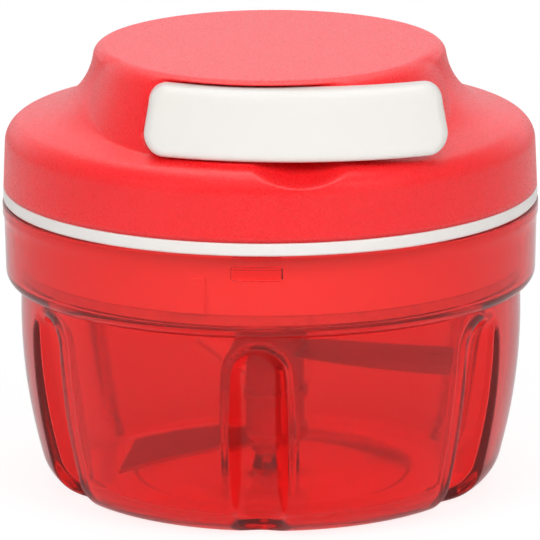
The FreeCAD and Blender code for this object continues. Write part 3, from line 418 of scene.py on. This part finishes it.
def makeBowl():
    # Each point of the turned wall is pushed inwards until it is clear of the flute, with a round edge:
    # where depth t and distance d to the flute give (e-t)^2 + (e-d)^2 = e^2 for an edge of radius e.
    profile = roundedProfile(bowlCorners)
    inner = np.arange(len(profile)) > np.argmin(np.abs(profile - bowl["rimTop"]).sum(axis=1))
    half = np.concatenate([np.linspace(*stops)[:-1] for stops in bowl["sectorStops"]])
    sector = np.concatenate([-half[:0:-1], half, [bowl["sectorStops"][-1][1]]])
    count = len(sector)
    angle = np.radians(sector)
    radius, height = profile[:, :1], profile[:, 1:]
    slope = np.radians(np.clip((bowl["footHeight"] - height) / bowl["footHeight"], 0, 1) * bowl["footSlope"])
    inward = np.stack([-np.cos(slope), np.sin(slope)], axis=-1)  # along the radius and upwards
    reach = np.where(inner[:, None], bowl["fluteRadius"] + bowl["wall"], bowl["fluteRadius"])
    ease = np.where(inner[:, None], bowl["innerEdge"], bowl["fluteEdge"])

    def pushed(depth):
        r = radius + inward[..., 0] * depth
        z = height + inward[..., 1] * depth
        return r, z, np.stack([r * np.cos(angle), r * np.sin(angle), z], axis=-1)

    low = np.zeros((len(profile), count))
    high = np.full_like(low, bowl["deepest"])
    for halving in range(34):
        middle = (low + high) / 2
        away = fluteDistance(pushed(middle)[2], reach)
        inside = np.maximum(ease - middle, 0) ** 2 + np.maximum(ease - away, 0) ** 2 < ease ** 2
        high = np.where(inside, middle, high)
        low = np.where(inside, low, middle)
    free = fluteDistance(pushed(low * 0)[2], reach) >= ease
    depth = np.where(free | (radius < bowl["pressedBeyond"]), 0.0, high)
    flutes = bowl["flutes"]
    r, z = (np.tile(values, (1, flutes)) for values in pushed(depth)[:2])
    turns = np.radians(bowl["fluteTurn"] + 360.0 / flutes * np.arange(flutes))
    allAngles = (turns[:, None] + angle[None, :]).ravel()
    # A lock lug stands in from the collar behind every other flute, a block whose edges follow 3s^2 - 2s^3.
    sideways = np.tile(angle, flutes) * bowl["lugRadius"]
    flat = np.clip((bowl["lugWidth"] / 2 - np.abs(sideways)) / bowl["lugSoft"] + 0.5, 0, 1)
    upAway = np.abs(height - bowl["lugMiddle"])
    level = np.clip((bowl["lugHeight"] / 2 - upAway) / bowl["lugSoft"] + 0.5, 0, 1)
    onLug = flat * level * (np.repeat(np.arange(flutes), count) % 2 == 0) * inner[:, None]
    onLug = onLug * onLug * (3 - 2 * onLug)
    r = r - bowl["lugThickness"] * onLug
    points = np.stack([r * np.cos(allAngles), r * np.sin(allAngles), z], axis=-1).reshape(-1, 3) / 1000
    rows, columns = r.shape
    faces = gridFaces(rows, columns)
    around = np.arange(columns)
    following = (around + 1) % columns
    lowPole, highPole = len(points), len(points) + 1
    lastRow = (rows - 1) * columns
    points = np.concatenate([points, [[0, 0, profile[0, 1] / 1000], [0, 0, profile[-1, 1] / 1000]]])
    under = np.stack([np.full(columns, lowPole), following, around], axis=-1)
    over = np.stack([np.full(columns, highPole), lastRow + around, lastRow + following], axis=-1)
    print("bowl grid", rows, "by", columns, "triangles", 2 * len(faces) + 2 * columns)
    piece = meshPiece("bowlWall", points, faces.tolist() + under.tolist() + over.tolist(), clearWall, "bowl")
    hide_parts("bowl")


makeBowl()
print("bowl made")

# Lid cover and handle, in millimetres: the pad, the scoop and the handle as the photograph has them
lid = {
    "profile": [(57.96, 66.9, 0.0, 1, 8), (57.35, 80.43, 5.2, 16, 6), (39.92, 85.56, 15.6, 24, 6),
                (37.81, 97.7, 2.5, 12, 1), (0.0, 97.7, 0.0, 1, 1)],
    "top": 97.7, "capRound": 2.5, "wall": 2.2, "thinnest": 0.3,
    "padFoot": (43.4, 12.8, 76.0), "padTop": (35.2, 7.0, 97.7), "padSoft": 0.7,  # radius, forward, height
    "scoopRadius": 22.0, "scoop": (6.9, -60.0, 100.0), "scoopSoft": 2.2, "scoopTop": 83.6,
    "seatGap": 0.3, "seatSoft": 0.3, "leftOrigin": -30.0, "rightOrigin": 34.0, "step": 0.6,
    "cordHole": (5.4, 89.8, ((2.22, 30.0), (2.22, 40.6), (3.32, 40.6), (3.32, 60.0))),  # radius, forward
    "rightSteps": 84, "leftSteps": 90, "capSteps": 15, "topRings": (0.985, 0.95), "wallSteps": 9,
    "rowStops": ((66.9, 75.0, 8), (75.0, 77.6, 9), (77.6, 84.0, 48), (84.0, 95.2, 36)),  # from, to, count
    "innerRowStops": ((66.9, 75.0, 5), (75.0, 84.0, 22)), "innerTopSteps": 20,
}
handle = {
    "middle": 5.4, "foot": 82.9, "top": 96.45, "footWidth": 63.8, "topWidth": 61.8, "corner": 4.1,
    "forward": 54.09, "lean": math.tan(math.radians(30.4)), "bow": 68.0, "bowReach": 40.0,
    "thickness": 6.0, "edge": 1.7, "plateInset": 1.5, "plateDepth": 1.2,
    "backEdge": ((0.0, 0.4), (0.12, 0.12), (0.4, 0.0)),  # inset, short of the back
}


def handleFront(x, z):
    # How far forward of the axis the bowed, leaning front of the handle is.
    aside = np.minimum(np.abs(x - handle["middle"]), handle["bowReach"])
    bow = handle["bow"] - np.sqrt(handle["bow"] ** 2 - aside ** 2)
    return handle["forward"] - (z - handle["foot"]) * handle["lean"] - bow


def seatDistance(x, z):
    # Distance from the handle's outline grown by the gap, seen from the front: negative inside.
    grown, corner = lid["seatGap"], handle["corner"] + lid["seatGap"]
    share = (z - handle["foot"]) / (handle["top"] - handle["foot"])
    width = handle["footWidth"] + (handle["topWidth"] - handle["footWidth"]) * share
    across = np.abs(x - handle["middle"]) - width / 2 - grown + corner
    middle, half = (handle["foot"] + handle["top"]) / 2, (handle["top"] - handle["foot"]) / 2
    along = np.abs(z - middle) - half - grown + corner
    outside = np.hypot(np.maximum(across, 0), np.maximum(along, 0))
    return outside + np.minimum(np.maximum(across, along), 0) - corner


def rayToCircle(origin, way, centre, radius, near=False):
    # Distance along each ray to a circle, or -1 where it misses.
    back = origin - centre
    along = (back * way).sum(axis=-1)
    inside = along ** 2 - (back ** 2).sum(axis=-1) + radius ** 2
    reach = -along + np.sqrt(np.maximum(inside, 0)) * (-1 if near else 1)
    return np.where((inside > 0) & (reach > 0), reach, -1.0)


def lidReach(height, origin, way, profile):
    # How far the cover's outside is along each ray at each height. The pad joins the cover by a soft maximum,
    # max + s/4 (1 - |difference| / s)^2 for a softness s, and the scoop is taken off by a soft minimum.
    z = np.clip(height, profile[0, 1], lid["top"])[:, None]
    radius = np.interp(np.minimum(z, lid["top"] - 0.001), profile[:, 1], profile[:, 0])
    zero = np.zeros((len(height), len(origin), 2))
    start, way = zero + origin, zero + way
    reach = rayToCircle(start, way, 0 * zero, radius)
    share = np.clip((z - lid["padFoot"][2]) / (lid["padTop"][2] - lid["padFoot"][2]), 0, 1)
    over = np.maximum(z - (lid["top"] - lid["capRound"]), 0)
    padRadius = lid["padFoot"][0] + (lid["padTop"][0] - lid["padFoot"][0]) * share
    padRadius = padRadius - lid["capRound"] + np.sqrt(np.maximum(lid["capRound"] ** 2 - over ** 2, 0))
    forward = lid["padFoot"][1] + (lid["padTop"][1] - lid["padFoot"][1]) * share
    centre = np.stack([0 * forward, -forward], axis=-1)
    pad = rayToCircle(start, way, centre, padRadius)
    soft = lid["padSoft"]
    reach = np.maximum(reach, pad) + soft / 4 * np.maximum(1 - np.abs(reach - pad) / soft, 0) ** 2
    scoopX, scoopY, scoopZ = lid["scoop"]
    cut = np.sqrt(np.maximum(lid["scoopRadius"] ** 2 - (z - scoopZ) ** 2, 0))
    scoop = rayToCircle(start, way, np.array([scoopX, scoopY]), cut, near=True)
    farOff = 1000.0
    scoop = np.where((scoop > 0) & (z < lid["scoopTop"]), scoop, farOff)
    soft = lid["scoopSoft"]
    reach = np.minimum(reach, scoop) - soft / 4 * np.maximum(1 - np.abs(reach - scoop) / soft, 0) ** 2
    x = start[..., 0] + way[..., 0] * reach
    ahead = np.maximum(-way[..., 1], 0.001)
    seat = (handleFront(x, z) - handle["thickness"] - lid["seatGap"]) / ahead
    inSeat = np.clip(0.5 - seatDistance(x, z) / lid["seatSoft"], 0, 1) * (ahead > 0.5)
    return np.where(seat < reach, reach + (seat - reach) * inSeat, reach)


def makeLid():
    # Rays go out from points on a line through the axis, straight to the front and back and fanned at the ends.
    profile = roundedProfile(lid["profile"])
    count = int(round((lid["rightOrigin"] - lid["leftOrigin"]) / lid["step"])) + 1
    line = np.linspace(lid["leftOrigin"], lid["rightOrigin"], count)
    outer = profile[0, 0]
    rightTurn = np.arcsin(lid["rightOrigin"] / outer)
    leftTurn = np.arcsin(-lid["leftOrigin"] / outer)
    rightFan = np.linspace(rightTurn, math.pi - rightTurn, lid["rightSteps"])[1:-1]
    leftFan = np.linspace(math.pi + leftTurn, 2 * math.pi - leftTurn, lid["leftSteps"])[1:-1]
    target = [np.stack([np.sin(fan), -np.cos(fan)], axis=-1) * outer for fan in (rightFan, leftFan)]
    ends = [np.array([lid["rightOrigin"], 0.0]), np.array([lid["leftOrigin"], 0.0])]
    ways = [(goal - end) / np.linalg.norm(goal - end, axis=1)[:, None] for goal, end in zip(target, ends)]
    flat = np.stack([line, 0 * line], axis=-1)
    origin = np.concatenate([
        flat, np.tile(ends[0], (len(rightFan), 1)), flat[::-1], np.tile(ends[1], (len(leftFan), 1))])
    way = np.concatenate([
        np.tile([0.0, -1.0], (count, 1)), ways[0], np.tile([0.0, 1.0], (count, 1)), ways[1]])
    turn = np.linspace(0, math.pi / 2, lid["capSteps"])
    height = np.concatenate([np.linspace(*stops)[:-1] for stops in lid["rowStops"]]
                            + [lid["top"] - lid["capRound"] * (1 - np.sin(turn))])
    reach = lidReach(height, origin, way, profile)
    shares = np.array(lid["topRings"])  # on the flat top, inside which one flat face closes it
    reach = np.concatenate([reach, reach[-1] * shares[:, None]])
    height = np.concatenate([height, np.full(len(shares), lid["top"])])
    # The hollow keeps one wall's thickness from the outside, measured along a few slants.
    wall = lid["wall"]
    inside = np.concatenate([np.linspace(*stops)[:-1] for stops in lid["innerRowStops"]]
                            + [np.linspace(lid["innerRowStops"][-1][1], lid["top"] - wall, lid["innerTopSteps"])])
    walls = [lidReach(inside + shift, origin, way, profile) - math.sqrt(wall ** 2 - shift ** 2)
             for shift in np.linspace(-1, 1, lid["wallSteps"]) * wall]
    hollow = np.maximum(np.min(walls, axis=0), lid["thinnest"])
    hollow = np.concatenate([hollow, hollow[-1] * shares[:, None]])[::-1]
    inside = np.concatenate([inside, np.full(len(shares), inside[-1])])[::-1]
    outerRows, columns = len(height), len(origin)
    reach = np.concatenate([reach, hollow])
    height = np.concatenate([height, inside])
    rows = len(height)
    place = origin[None] + way[None] * reach[..., None]
    points = np.concatenate([place, np.broadcast_to(height[:, None, None], (rows, columns, 1))], axis=-1)
    faces = gridFaces(rows, columns).reshape(rows - 1, columns, 4)
    around = np.arange(columns)
    following = (around + 1) % columns
    last = (rows - 1) * columns
    closing = np.stack([last + around, last + following, following, around], axis=-1)
    faces = np.concatenate([faces[:outerRows - 1].reshape(-1, 4), faces[outerRows:].reshape(-1, 4), closing])
    tops = [((outerRows - 1) * columns + around).tolist(), (outerRows * columns + around)[::-1].tolist()]
    print("lid grid", rows, "by", columns, "triangles", 2 * len(faces))
    piece = meshPiece("lidShell", points.reshape(-1, 3) / 1000, faces.tolist() + tops, redMatte, "lid")
    mergeDoubles(piece)
    cutCordHole(piece)
    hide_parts("lid_cover")


def cutCordHole(piece):
    # A stepped round hole from the reel to the seat, where the cord's eyelet sits: circles along the Y axis.
    x, height, steps = lid["cordHole"]
    turn = np.linspace(0, 2 * math.pi, 49)[:-1]
    points = np.concatenate([
        np.stack([x + radius * np.cos(turn), 0 * turn - forward, height + radius * np.sin(turn)], axis=-1)
        for radius, forward in steps])
    count = len(turn)
    faces = gridFaces(len(steps), count).reshape(-1, 4).tolist()
    faces += [list(range(count))[::-1], list(range((len(steps) - 1) * count, len(steps) * count))]
    mesh = bpy.data.meshes.new("cordHole")
    mesh.from_pydata((points / 1000).tolist(), [], faces)
    work = bmesh.new()
    work.from_mesh(mesh)
    bmesh.ops.recalc_face_normals(work, faces=work.faces)
    work.to_mesh(mesh)
    work.free()
    cutter = bpy.data.objects.new("cordHole", mesh)
    bpy.context.scene.collection.objects.link(cutter)
    cut = piece.modifiers.new("cordHole", "BOOLEAN")
    cut.operation, cut.object, cut.solver = "DIFFERENCE", cutter, "EXACT"
    bpy.context.view_layer.update()
    done = bpy.data.meshes.new_from_object(piece.evaluated_get(bpy.context.evaluated_depsgraph_get()))
    before = len(piece.data.polygons)
    piece.modifiers.clear()
    piece.data = done
    bpy.data.objects.remove(cutter)
    bpy.data.meshes.remove(mesh)
    print("cord hole: faces", before, "to", len(done.polygons))


def mergeDoubles(piece):
    # Points that fall on each other are made one, and faces left without an area go.
    work = bmesh.new()
    work.from_mesh(piece.data)
    bmesh.ops.remove_doubles(work, verts=work.verts, dist=0.000002)
    bmesh.ops.dissolve_degenerate(work, edges=work.edges, dist=0.0000005)
    work.to_mesh(piece.data)
    work.free()
    piece.data.polygons.foreach_set("use_smooth", np.ones(len(piece.data.polygons), bool))


def handleOutline(inset, steps=14, runs=(46, 8)):
    # The handle's outline seen from the front, moved in by an inset, counter-clockwise from its lower right.
    corner = max(handle["corner"] - inset, 0.3)
    foot, top = handle["foot"] + inset, handle["top"] - inset
    points = []
    for side, low in ((1, True), (1, False), (-1, False), (-1, True)):
        width = (handle["footWidth"] if low else handle["topWidth"]) / 2 - inset - corner
        centre = np.array([handle["middle"] + side * width, foot + corner if low else top - corner])
        first = {(1, True): -90.0, (1, False): 0.0, (-1, False): 90.0, (-1, True): 180.0}[(side, low)]
        turn = np.radians(first + np.linspace(0, 90.0, steps))
        points.append(centre + corner * np.stack([np.cos(turn), np.sin(turn)], axis=-1))
    closed = []
    for arc, after, count in zip(points, points[1:] + points[:1], (runs[1], runs[0], runs[1], runs[0])):
        closed.append(arc)
        share = np.linspace(0, 1, count + 1)[1:-1, None]
        closed.append(arc[-1] + (after[0] - arc[-1]) * share)
    return np.concatenate(closed)


def makeHandle():
    # Rings of the outline at a depth from the front: out over the front, round its edge, back along the side,
    # and in round the back plate's seat.
    rounding, thickness, seat = handle["edge"], handle["thickness"], handle["plateInset"]
    centre = np.array([handle["middle"], (handle["foot"] + handle["top"]) / 2])
    front, back = handleOutline(rounding), handleOutline(seat)
    rings = [(centre + (front - centre) * share, 0.0) for share in np.linspace(0.0, 1.0, 12)[:-1]]
    rings += [(handleOutline(rounding * (1 - math.sin(turn))), rounding * (1 - math.cos(turn)))
              for turn in np.linspace(0.0, math.pi / 2, 9)]
    rings += [(handleOutline(inset), thickness - short) for inset, short in handle["backEdge"] + ((seat, 0.0),)]
    rings += [(centre + (back - centre) * share, thickness - handle["plateDepth"])
              for share in (1.0, 0.8, 0.5, 0.25, 0.0)]
    points = []
    for outline, depth in rings:
        x, z = outline[:, 0], outline[:, 1]
        points.append(np.stack([x, depth - handleFront(x, z), z], axis=-1))
    faces = gridFaces(len(rings), len(front))
    piece = meshPiece("handleShell", np.concatenate(points) / 1000, faces.tolist(), paintedShadeWhiteHandle, "handle")
    mergeDoubles(piece)
    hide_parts("handle_front")
    print("handle triangles", 2 * len(faces))


makeLid()
makeHandle()
print("lid and handle made")

# Cord, in metres: 1.5 mm braid, wound on the drum, then out through the eyelet to the ferrule in the handle
cord = {
    "radius": 0.00075, "woundRadius": 0.01485, "foot": 0.08685, "pitch": 0.00195, "turns": 3.1,
    "leaves": -16.8456,  # degrees
    "bend": (0.0054, -0.033409, 0.0898), "end": (0.0054, -0.045348, 0.0898), "bendRadius": 0.015,
    "strands": 8, "lay": 0.0016, "relief": 0.07,
}


def cordTube(name, path, body, sides=16):
    # A tube along a path whose radius follows the two crossing sets of strands.
    tangent = np.gradient(path, axis=0)
    tangent /= np.linalg.norm(tangent, axis=1)[:, None]
    side = np.cross([0.0, 0.0, 1.0], tangent)
    side /= np.linalg.norm(side, axis=1)[:, None]
    up = np.cross(tangent, side)
    run = np.concatenate([[0], np.cumsum(np.linalg.norm(np.diff(path, axis=0), axis=1))])
    share = np.arange(sides) / sides
    turn = 2 * math.pi * share
    lay = 2 * math.pi * run[:, None] / cord["lay"]
    weave = np.abs(np.sin(cord["strands"] / 2 * turn + lay) * np.sin(cord["strands"] / 2 * turn - lay))
    radius = cord["radius"] * (1 - cord["relief"] * weave)
    ends = np.minimum(np.arange(len(path)), np.arange(len(path))[::-1])
    radius = radius * np.where(ends == 0, 0.55, 1.0)[:, None]
    points = (path[:, None, :] + radius[..., None] * (
        np.cos(turn)[None, :, None] * side[:, None, :] + np.sin(turn)[None, :, None] * up[:, None, :]))
    rows = len(path)
    faces = gridFaces(rows, sides)
    points = points.reshape(-1, 3)
    uv = np.stack([np.tile(share, rows), np.repeat(run, sides)], axis=-1)
    points = np.concatenate([points, path[:1], path[-1:]])
    uv = np.concatenate([uv, [[0.5, 0.0]], [[0.5, run[-1]]]])
    around = np.arange(sides)
    following = (around + 1) % sides
    last = (rows - 1) * sides
    start = np.stack([np.full(sides, rows * sides), following, around], axis=-1)
    end = np.stack([np.full(sides, rows * sides + 1), last + around, last + following], axis=-1)
    piece = meshPiece(name, points, faces.tolist() + start.tolist() + end.tolist(), braid, body, uv)
    return piece


def makeWinding():
    # A helix round the drum, one pitch up for each turn.
    steps = np.linspace(0, cord["turns"], 1100)
    turn = np.radians(cord["leaves"]) + 2 * math.pi * steps
    path = np.stack([cord["woundRadius"] * np.cos(turn), cord["woundRadius"] * np.sin(turn),
                     cord["foot"] + cord["pitch"] * steps], axis=-1)
    piece = cordTube("cordWinding", path, "reel", 12)
    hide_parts("pull_cord_winding")


def makeLead():
    # From the drum straight to the bend, round it on an arc, and straight out to the ferrule.
    turn = math.radians(cord["leaves"])
    start = np.array([cord["woundRadius"] * math.cos(turn), cord["woundRadius"] * math.sin(turn), cord["foot"]])
    bend, end = np.array(cord["bend"]), np.array(cord["end"])
    back = (start - bend) / np.linalg.norm(start - bend)
    ahead = (end - bend) / np.linalg.norm(end - bend)
    half = math.acos(back @ ahead) / 2
    reach = cord["bendRadius"] / math.tan(half)
    centre = bend + (back + ahead) / np.linalg.norm(back + ahead) * cord["bendRadius"] / math.sin(half)
    sweep = math.pi - 2 * half
    share = np.linspace(0, 1, 60)[:, None]
    arc = centre + ((bend + back * reach - centre) * np.sin((1 - share) * sweep)
                    + (bend + ahead * reach - centre) * np.sin(share * sweep)) / math.sin(sweep)
    first = start + (arc[0] - start) * np.linspace(0, 1, 160)[:-1, None]
    final = arc[-1] + (end - arc[-1]) * np.linspace(0, 1, 80)[1:, None]
    piece = cordTube("cordLead", np.concatenate([first, arc, final]), None, 16)
    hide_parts("pull_cord_lead")
    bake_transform(piece)


makeWinding()
makeLead()
print("cord made")

# Floor, backdrop, lamps and camera
studio = {
    "worldLight": 0.02, "worldGloss": (0.04, 0.62), "worldThrough": 0.95, "worldSeen": 1.0,
    "paper": 0.8, "paperGlow": 1.14, "glowShare": 0.75, "glossShare": 0.2, "throughShare": 0.05,
    "aim": (-0.00015, 0.0, 0.04704), "distance": 1.3, "elevation": 13.75, "roll": 0.005, "focal": 397.27,
}
lamps = {  # place, width, height, watts, colour, whether gloss shows it
    "topLamp": ((0.0, 0.0, 1.30), 1.0, 1.0, 4.6, (1.0, 1.0, 1.0), True),
    "topBackLamp": ((0.0, 0.60, 1.10), 1.2, 0.6, 3.2, (1.0, 1.0, 1.0), True),
    "frontLamp": ((0.0, -0.90, 1.00), 1.0, 0.6, 4.2, (1.0, 1.0, 1.0), False),
    "leftLamp": ((-0.85, -0.85, 0.75), 0.7, 0.6, 7.6, (1.0, 1.0, 1.0), False),
    "rightLamp": ((0.85, -0.85, 0.75), 0.7, 0.6, 7.6, (1.0, 1.0, 1.0), False),
    "backLamp": ((0.0, 1.15, 0.40), 2.6, 0.6, 2.2, (0.97, 0.88, 1.0), True),
}


def makeFloor():
    # White paper. The camera sees it lit from behind as well, so that it is white and still shows the shadow.
    finish = newFinish("studioFloor")
    paper = finish.add("ShaderNodeBsdfDiffuse", None, (studio["paper"],) * 3 + (1.0,))
    glow = finish.add("ShaderNodeEmission", None, (1.0, 1.0, 1.0, 1.0), studio["paperGlow"])
    path = finish.add("ShaderNodeLightPath")
    share = (path.other("Is Camera Ray") * studio["glowShare"]
             + path.other("Is Transmission Ray") * studio["throughShare"]
             + path.other("Is Glossy Ray") * studio["glossShare"])
    material = finish.show(finish.add("ShaderNodeMixShader", None, share, paper, glow))
    side = np.linspace(-4.0, 4.0, 9)
    x, y = np.meshgrid(side, side, indexing="ij")
    points = np.stack([y, x, np.full_like(x, -0.0003)], axis=-1).reshape(-1, 3)
    faces = gridFaces(9, 9, wrap=False)[:, ::-1]
    meshPiece("studioFloor", points, faces.tolist(), material, None)


def makeWorld():
    # White to the camera, a little darker through the clear plastic and darker still as light. Gloss sees the
    # white paper all round, and a dark room up in front.
    world = bpy.data.worlds.new("studio")
    finish = Finish(world)
    path = finish.add("ShaderNodeLightPath")
    light, through, seen = (finish.add("ShaderNodeBackground", None, (1.0, 1.0, 1.0, 1.0), studio[name])
                            for name in ("worldLight", "worldThrough", "worldSeen"))
    way = finish.add("ShaderNodeSeparateXYZ", None, finish.add("ShaderNodeTexCoord"))
    upInFront = way.other("Z") * 0.73 - way.other("Y") * 0.68
    level = finish.span(upInFront, 0.95, 0.55, *studio["worldGloss"])
    gloss = finish.add("ShaderNodeBackground", None, (1.0, 1.0, 1.0, 1.0), level)
    shown = finish.add("ShaderNodeMixShader", None, path.other("Is Glossy Ray"), light, gloss)
    shown = finish.add("ShaderNodeMixShader", None, path.other("Is Transmission Ray"), shown, through)
    finish.show(finish.add("ShaderNodeMixShader", None, path.other("Is Camera Ray"), shown, seen))
    bpy.context.scene.world = world


def addLamp(name, place, width, height, watts, colour, inGloss):
    light = bpy.data.lights.new(name, "AREA")
    light.shape = "RECTANGLE"
    light.size, light.size_y = width, height
    light.energy = watts
    light.color = colour
    lamp = bpy.data.objects.new(name, light)
    lamp.location = place
    lamp.visible_glossy = inGloss
    lamp.rotation_euler = (Vector((0.0, 0.0, 0.05)) - Vector(place)).to_track_quat("-Z", "Y").to_euler()
    bpy.context.scene.collection.objects.link(lamp)


makeFloor()
makeWorld()
for name, setting in lamps.items():
    addLamp(name, *setting)

lens = bpy.data.cameras.new("camera")
lens.lens = studio["focal"]
lens.sensor_width = 36.0
lens.clip_start, lens.clip_end = 0.05, 20.0
camera = bpy.data.objects.new("camera", lens)
lift = math.radians(studio["elevation"])
back = Vector((0.0, -math.cos(lift), math.sin(lift)))
camera.rotation_mode = "QUATERNION"
camera.location = Vector(studio["aim"]) + back * studio["distance"]
rolled = Matrix.Rotation(-studio["roll"], 3, "Z").to_quaternion()
camera.rotation_quaternion = (-back).to_track_quat("-Z", "Y") @ rolled
bpy.context.scene.collection.objects.link(camera)
bpy.context.scene.camera = camera
bpy.context.scene.view_settings.view_transform = "Standard"
for bounces in ("max_bounces", "transmission_bounces", "transparent_max_bounces"):
    setattr(bpy.context.scene.cycles, bounces, 20)
print("stage made")
